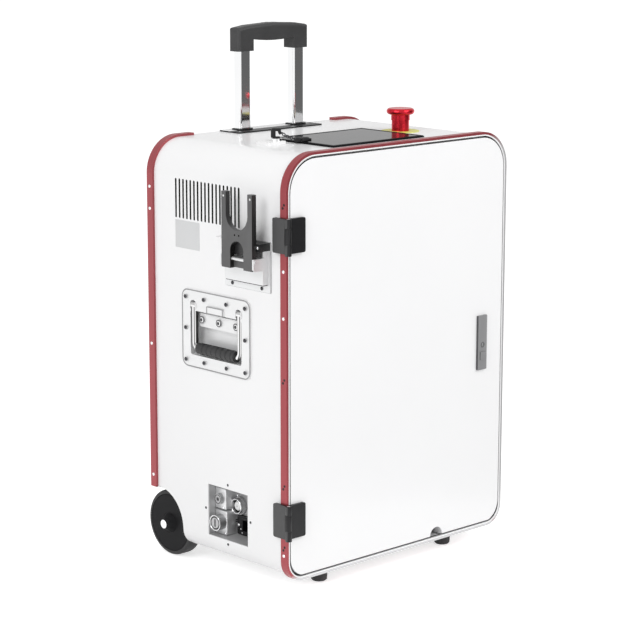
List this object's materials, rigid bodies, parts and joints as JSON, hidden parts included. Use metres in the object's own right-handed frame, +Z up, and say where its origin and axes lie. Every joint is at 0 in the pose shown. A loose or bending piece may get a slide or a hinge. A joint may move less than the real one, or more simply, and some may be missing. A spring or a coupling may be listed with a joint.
{
  "type": "laser cleaning machine",
  "caption": "Trolley-case laser cleaning machine: white cabinet on wheels, red trims, front door, telescopic handle, gun rest, touch screen and emergency stop.",
  "frame": {"origin": "under the middle of the whole machine, on the ground that its wheels and feet stand on", "axes": "+Z up, +X to the right across the front door, +Y from the door to the back"},
  "size_m": [0.5106, 0.3574, 0.8395],
  "materials": {
    "white_paint": "gloss powder coat",
    "red_trim": "satin anodised red",
    "red_metal": "gloss anodised red",
    "black_metal": "satin black",
    "black_plastic": "fine moulded texture",
    "rubber": "matt",
    "tyre": "matt moulded",
    "brushed_steel": "brushed",
    "chrome": "polished",
    "grey_metal": "satin",
    "legend_yellow": "matt film",
    "screen_glass": "gloss",
    "key_white": "gloss",
    "module_housing": "satin grey"
  },
  "bodies": {
    "cabinet": {"body_shell": "white_paint", "door_stop": "white_paint", "front_trim": "red_trim", "rear_trim_left": "red_trim", "rear_trim_right": "red_trim", "back_panel": "white_paint", "partition": "grey_metal", "wheel_wells": "white_paint", "upper_hinge_fixed_leaf": "black_metal", "lower_hinge_fixed_leaf": "black_metal", "hinge_pins": "brushed_steel", "connector_box": "brushed_steel", "fibre_socket": "grey_metal", "signal_socket": "grey_metal", "gas_fitting": "chrome", "socket_nuts": "black_metal", "power_inlet": "black_plastic", "gun_rest_plate": "brushed_steel", "gun_rest_top_bar": "black_metal", "gun_rest_bracket": "brushed_steel", "gun_rest_pin": "brushed_steel", "left_handle_dish": "brushed_steel", "right_handle_dish": "brushed_steel", "handle_rivets": "chrome", "wheel_bolts": "chrome", "front_feet": "rubber", "trolley_base": "black_plastic", "trolley_guides": "grey_metal", "screen_bezel": "black_plastic", "screen_glass": "screen_glass", "estop_legend": "legend_yellow", "estop_collar": "red_metal", "key_base": "key_white", "key_bezel": "chrome", "laser_source": "module_housing", "power_supply": "module_housing", "fan_frame": "black_plastic"},
    "door": {"door_panel": "white_paint", "door_stiffener": "white_paint", "door_seal": "rubber", "upper_hinge_door_leaf": "black_metal", "lower_hinge_door_leaf": "black_metal", "lock_plate": "grey_metal"},
    "lock_button": {"lock_button": "grey_metal"},
    "lock_cylinder": {"lock_cylinder": "chrome"},
    "left_wheel": {"left_wheel_hub": "black_plastic", "left_wheel_tyre": "tyre"},
    "right_wheel": {"right_wheel_hub": "black_plastic", "right_wheel_tyre": "tyre"},
    "gun_fork": {"gun_rest_fork": "black_plastic"},
    "left_bail": {"left_handle_bail": "chrome", "left_handle_grip": "rubber"},
    "right_bail": {"right_handle_bail": "chrome", "right_handle_grip": "rubber"},
    "trolley": {"trolley_tubes": "chrome", "trolley_grip": "black_plastic"},
    "trolley_button": {"trolley_button": "black_plastic"},
    "estop_head": {"estop_head": "red_metal"},
    "key": {"switch_key": "black_plastic"},
    "fan_rotor": {"fan_rotor": "black_plastic"}
  },
  "joints": [
    {"name": "door_swing", "type": "hinge", "parent": "cabinet", "child": "door", "pos_m": [-0.22925, -0.1737, 0.3335], "axis": [0, 0, -1], "range_deg": [0, 115]},
    {"name": "lock_press", "type": "slide", "parent": "door", "child": "lock_button", "axis": [0, 1, 0], "range_m": [0, 0.003], "stiffness_N_per_m": 400},
    {"name": "lock_turn", "type": "hinge", "parent": "door", "child": "lock_cylinder", "pos_m": [0.19725, -0.1683, 0.331], "axis": [0, -1, 0], "range_deg": [0, 90]},
    {"name": "left_wheel_spin", "type": "hinge", "parent": "cabinet", "child": "left_wheel", "pos_m": [-0.19875, 0.1257, 0.053], "axis": [1, 0, 0], "continuous": true},
    {"name": "right_wheel_spin", "type": "hinge", "parent": "cabinet", "child": "right_wheel", "pos_m": [0.22325, 0.1257, 0.053], "axis": [1, 0, 0], "continuous": true},
    {"name": "gun_rest_fold", "type": "hinge", "parent": "cabinet", "child": "gun_fork", "pos_m": [-0.25075, -0.0895, 0.5133], "axis": [0, -1, 0], "range_deg": [0, 90]},
    {"name": "left_handle_fold", "type": "hinge", "parent": "cabinet", "child": "left_bail", "pos_m": [-0.22175, -0.0068, 0.4215], "axis": [0, 1, 0], "range_deg": [0, 90]},
    {"name": "right_handle_fold", "type": "hinge", "parent": "cabinet", "child": "right_bail", "pos_m": [0.24625, -0.0068, 0.4215], "axis": [0, -1, 0], "range_deg": [0, 90]},
    {"name": "trolley_slide", "type": "slide", "parent": "cabinet", "child": "trolley", "axis": [0, 0, 1], "range_m": [-0.122, 0.25]},
    {"name": "trolley_button_press", "type": "slide", "parent": "trolley", "child": "trolley_button", "axis": [0, 0, -1], "range_m": [0, 0.003], "stiffness_N_per_m": 400},
    {"name": "estop_press", "type": "slide", "parent": "cabinet", "child": "estop_head", "axis": [0, 0, -1], "range_m": [0, 0.004]},
    {"name": "key_turn", "type": "hinge", "parent": "cabinet", "child": "key", "pos_m": [-0.12275, -0.0323, 0.6735], "axis": [0, 0, 1], "range_deg": [0, 90]},
    {"name": "fan_spin", "type": "hinge", "parent": "cabinet", "child": "fan_rotor", "pos_m": [0.23225, 0.0217, 0.5865], "axis": [1, 0, 0], "continuous": true}
  ]
}
